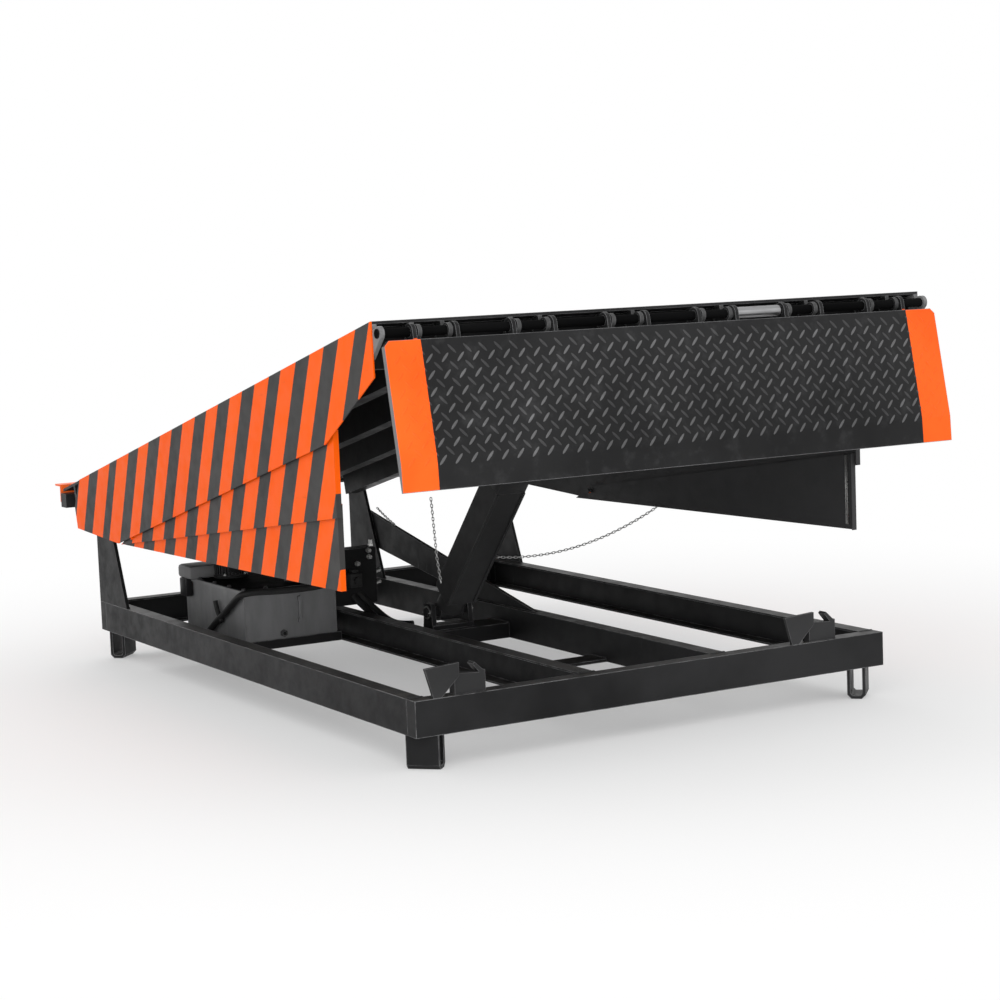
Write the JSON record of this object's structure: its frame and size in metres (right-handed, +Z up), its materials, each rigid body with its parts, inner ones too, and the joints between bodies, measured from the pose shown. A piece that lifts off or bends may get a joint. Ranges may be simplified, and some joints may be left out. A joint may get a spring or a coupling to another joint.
{
  "type": "dock leveler",
  "caption": "Hydraulic dock leveler: a hinged steel deck on a base frame with a folding diamond-tread lip, striped fan toe guards, a lift cylinder and a power pack.",
  "frame": {"origin": "centre of the overall box in X and Y, at the bottom of the legs", "axes": "+X to the right seen from the lip end, -Y towards the lip end, +Z up"},
  "size_m": [1.8, 2.6224, 1.2],
  "materials": {
    "frame_paint": "satin",
    "deck_paint": "satin",
    "lip_paint": "satin",
    "guard_paint": "satin",
    "curb_paint": "satin",
    "pin_steel": "satin",
    "chrome_rod": "polished",
    "tank_paint": "satin",
    "motor_metal": "satin"
  },
  "bodies": {
    "base": {"rail_left": "frame_paint", "rail_right": "frame_paint", "front_beam": "frame_paint", "rear_beam": "frame_paint", "centre_channel_left": "frame_paint", "centre_channel_right": "frame_paint", "cross_strap": "frame_paint", "foot_beam": "frame_paint", "pack_tray": "frame_paint", "leg_front_left": "frame_paint", "leg_front_right": "frame_paint", "leg_rear_left": "frame_paint", "leg_rear_right": "frame_paint", "rear_post_left": "frame_paint", "rear_post_right": "frame_paint", "rear_header": "frame_paint", "curb_plate": "curb_paint", "hinge_rod": "pin_steel", "centre_brace": "frame_paint", "pack_tank": "tank_paint", "pack_motor": "motor_metal", "pack_pump": "motor_metal", "keeper_left": "frame_paint", "keeper_right": "frame_paint"},
    "deck": {"deck_plate": "deck_paint", "deck_beam_1": "deck_paint", "deck_beam_2": "deck_paint", "deck_beam_3": "deck_paint", "deck_beam_4": "deck_paint", "deck_beam_5": "deck_paint", "deck_beam_6": "deck_paint", "nose_bar": "deck_paint", "tail_bar": "deck_paint", "head_bracket": "deck_paint", "guard_upper_left": "guard_paint", "guard_upper_right": "guard_paint", "lip_rod": "pin_steel"},
    "lip": {"lip_plate": "lip_paint"},
    "fan_mid_left": {"guard_mid_left": "guard_paint"},
    "fan_mid_right": {"guard_mid_right": "guard_paint"},
    "fan_low_left": {"guard_low_left": "guard_paint"},
    "fan_low_right": {"guard_low_right": "guard_paint"},
    "barrel": {"lift_barrel": "frame_paint"},
    "rod": {"lift_rod": "chrome_rod"}
  },
  "joints": [
    {"name": "deck_hinge", "type": "hinge", "parent": "base", "child": "deck", "pos_m": [0, 1.173, 0.569], "axis": [1, 0, 0], "range_deg": [0, 17]},
    {"name": "lip_hinge", "type": "hinge", "parent": "deck", "child": "lip", "pos_m": [0, -1.20035, 1.16899], "axis": [-1, 0, 0], "range_deg": [0, 92.2]},
    {"name": "fan_mid_left_pivot", "type": "hinge", "parent": "deck", "child": "fan_mid_left", "pos_m": [0, 0.62104, 0.48401], "axis": [1, 0, 0], "range_deg": [-6, 0]},
    {"name": "fan_low_left_pivot", "type": "hinge", "parent": "deck", "child": "fan_low_left", "pos_m": [0, 0.62104, 0.48401], "axis": [1, 0, 0], "range_deg": [-12, 0]},
    {"name": "fan_mid_right_pivot", "type": "hinge", "parent": "deck", "child": "fan_mid_right", "pos_m": [0, 0.62104, 0.48401], "axis": [1, 0, 0], "range_deg": [-6, 0]},
    {"name": "fan_low_right_pivot", "type": "hinge", "parent": "deck", "child": "fan_low_right", "pos_m": [0, 0.62104, 0.48401], "axis": [1, 0, 0], "range_deg": [-12, 0]},
    {"name": "barrel_tilt", "type": "hinge", "parent": "base", "child": "barrel", "pos_m": [0, 0.128, 0.203], "axis": [1, 0, 0], "range_deg": [0, 30]},
    {"name": "rod_slide", "type": "slide", "parent": "barrel", "child": "rod", "axis": [0, -0.6707, 0.7417], "range_m": [-0.262, 0]}
  ],
  "couplings": [
    {"joint": "fan_mid_left_pivot", "follows": "deck_hinge", "ratio": -0.35},
    {"joint": "fan_low_left_pivot", "follows": "deck_hinge", "ratio": -0.7},
    {"joint": "fan_mid_right_pivot", "follows": "deck_hinge", "ratio": -0.35},
    {"joint": "fan_low_right_pivot", "follows": "deck_hinge", "ratio": -0.7},
    {"joint": "barrel_tilt", "follows": "deck_hinge", "ratio": 1.74},
    {"joint": "rod_slide", "follows": "deck_hinge", "m_per_rad": -0.8766}
  ]
}
